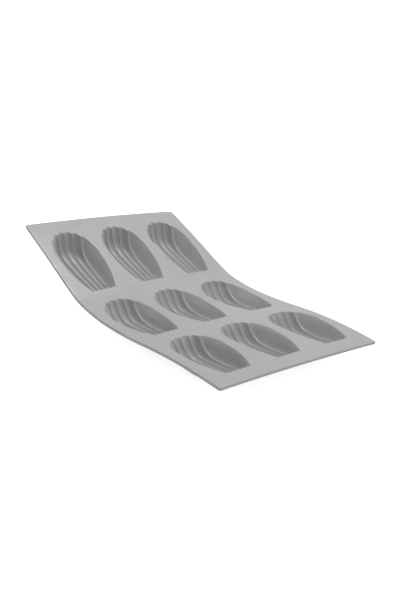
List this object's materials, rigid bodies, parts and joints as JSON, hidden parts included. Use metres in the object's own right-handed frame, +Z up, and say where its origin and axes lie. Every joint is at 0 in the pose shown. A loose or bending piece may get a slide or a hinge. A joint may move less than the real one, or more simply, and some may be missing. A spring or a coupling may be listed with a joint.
{
  "type": "madeleine mould",
  "caption": "Flexible baking mould: a thin grey sheet, lying in a loose S bend, with rows of fluted shell-shaped cups for small cakes.",
  "frame": {"origin": "on the table, in the middle of the outline seen from above, under the lowest cup foot", "axes": "+X across the columns, to the right; +Y along the rows, from the front edge to the raised back edge; +Z up, out of the cups' mouths"},
  "size_m": [0.176, 0.2941, 0.0694],
  "materials": {
    "silicone": "matte"
  },
  "bodies": {
    "middle_row": {"middle_panel": "silicone", "front_web": "silicone", "back_web": "silicone", "cup_wall_middle_left": "silicone", "cup_wall_middle_centre": "silicone", "cup_wall_middle_right": "silicone"},
    "front_row": {"front_panel": "silicone", "cup_wall_front_left": "silicone", "cup_wall_front_centre": "silicone", "cup_wall_front_right": "silicone"},
    "back_row": {"back_panel": "silicone", "cup_wall_back_left": "silicone", "cup_wall_back_centre": "silicone", "cup_wall_back_right": "silicone"},
    "floor_front_left": {"cup_floor_front_left": "silicone"},
    "floor_front_centre": {"cup_floor_front_centre": "silicone"},
    "floor_front_right": {"cup_floor_front_right": "silicone"},
    "floor_middle_left": {"cup_floor_middle_left": "silicone"},
    "floor_middle_centre": {"cup_floor_middle_centre": "silicone"},
    "floor_middle_right": {"cup_floor_middle_right": "silicone"},
    "floor_back_left": {"cup_floor_back_left": "silicone"},
    "floor_back_centre": {"cup_floor_back_centre": "silicone"},
    "floor_back_right": {"cup_floor_back_right": "silicone"}
  },
  "joints": [
    {"name": "front_row_flex", "type": "hinge", "parent": "middle_row", "child": "front_row", "pos_m": [0, -0.04458, 0.01801], "axis": [-1, 0, 0], "range_deg": [-30, 75], "stiffness_Nm_per_rad": 1, "deforming": ["front_web"]},
    {"name": "back_row_flex", "type": "hinge", "parent": "middle_row", "child": "back_row", "pos_m": [0, 0.04995, 0.02269], "axis": [1, 0, 0], "range_deg": [-45, 60], "stiffness_Nm_per_rad": 1, "deforming": ["back_web"]},
    {"name": "push_out_front_left", "type": "slide", "parent": "front_row", "child": "floor_front_left", "axis": [-0.039, -0.0077, 0.9992], "range_m": [0, 0.008], "stiffness_N_per_m": 2000},
    {"name": "push_out_front_centre", "type": "slide", "parent": "front_row", "child": "floor_front_centre", "axis": [-0.0162, -0.0032, 0.9999], "range_m": [0, 0.008], "stiffness_N_per_m": 2000},
    {"name": "push_out_front_right", "type": "slide", "parent": "front_row", "child": "floor_front_right", "axis": [0.0066, 0.0013, 1], "range_m": [0, 0.008], "stiffness_N_per_m": 2000},
    {"name": "push_out_middle_left", "type": "slide", "parent": "middle_row", "child": "floor_middle_left", "axis": [-0.0212, -0.0567, 0.9982], "range_m": [0, 0.008], "stiffness_N_per_m": 2000},
    {"name": "push_out_middle_centre", "type": "slide", "parent": "middle_row", "child": "floor_middle_centre", "axis": [0.0016, -0.0417, 0.9991], "range_m": [0, 0.008], "stiffness_N_per_m": 2000},
    {"name": "push_out_middle_right", "type": "slide", "parent": "middle_row", "child": "floor_middle_right", "axis": [0.0244, -0.0269, 0.9993], "range_m": [0, 0.008], "stiffness_N_per_m": 2000},
    {"name": "push_out_back_left", "type": "slide", "parent": "back_row", "child": "floor_back_left", "axis": [0.0148, -0.4399, 0.8979], "range_m": [0, 0.008], "stiffness_N_per_m": 2000},
    {"name": "push_out_back_centre", "type": "slide", "parent": "back_row", "child": "floor_back_centre", "axis": [0.0375, -0.4165, 0.9083], "range_m": [0, 0.008], "stiffness_N_per_m": 2000},
    {"name": "push_out_back_right", "type": "slide", "parent": "back_row", "child": "floor_back_right", "axis": [0.0602, -0.3927, 0.9177], "range_m": [0, 0.008], "stiffness_N_per_m": 2000}
  ]
}
